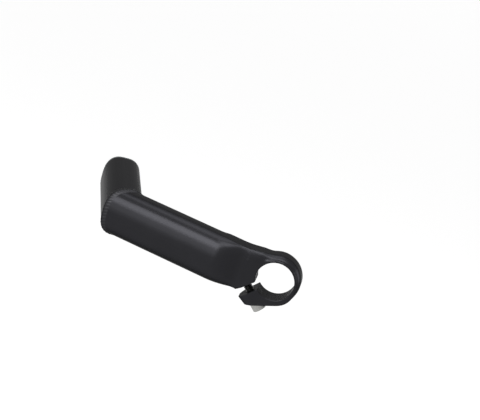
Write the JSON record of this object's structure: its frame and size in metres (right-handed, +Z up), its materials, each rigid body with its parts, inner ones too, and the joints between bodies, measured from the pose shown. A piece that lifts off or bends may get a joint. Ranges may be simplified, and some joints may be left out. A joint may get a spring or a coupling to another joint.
{
  "type": "bicycle bar end",
  "caption": "Forward grip extension for a flat handlebar: splayed oval arm with a split clamp ring and screw, and a mitred, welded tip tube closed by an end plug.",
  "frame": {"origin": "centre of the clamp bore, where the handlebar's axis passes through", "axes": "+X inboard along the handlebar, +Y forward, +Z up; the arm runs forward and leans inboard"},
  "size_m": [0.0907, 0.1383, 0.0383],
  "materials": {
    "satin_black_aluminium": "satin black anodised",
    "painted_weld": "rippled weld under the same satin black",
    "dark_plastic": "matt moulded",
    "bright_steel": "bright plated",
    "zinc_steel": "zinc plated"
  },
  "bodies": {
    "bar_end": {"arm": "satin_black_aluminium", "tip_tube": "satin_black_aluminium", "weld_bead": "painted_weld", "end_plug": "dark_plastic"},
    "carried_washer": {"washer": "zinc_steel"},
    "screw": {"clamp_screw": "bright_steel"}
  },
  "joints": [
    {"name": "screw_travel", "type": "slide", "parent": "bar_end", "child": "carried_washer", "axis": [0, -0.7145, -0.6997], "range_m": [0, 0.008]},
    {"name": "screw_turn", "type": "hinge", "parent": "carried_washer", "child": "screw", "pos_m": [0, 0.01161, -0.01186], "axis": [0, -0.7145, -0.6997], "range_deg": [0, 3600]}
  ],
  "couplings": [
    {"joint": "screw_turn", "follows": "screw_travel", "rad_per_m": 7854}
  ]
}
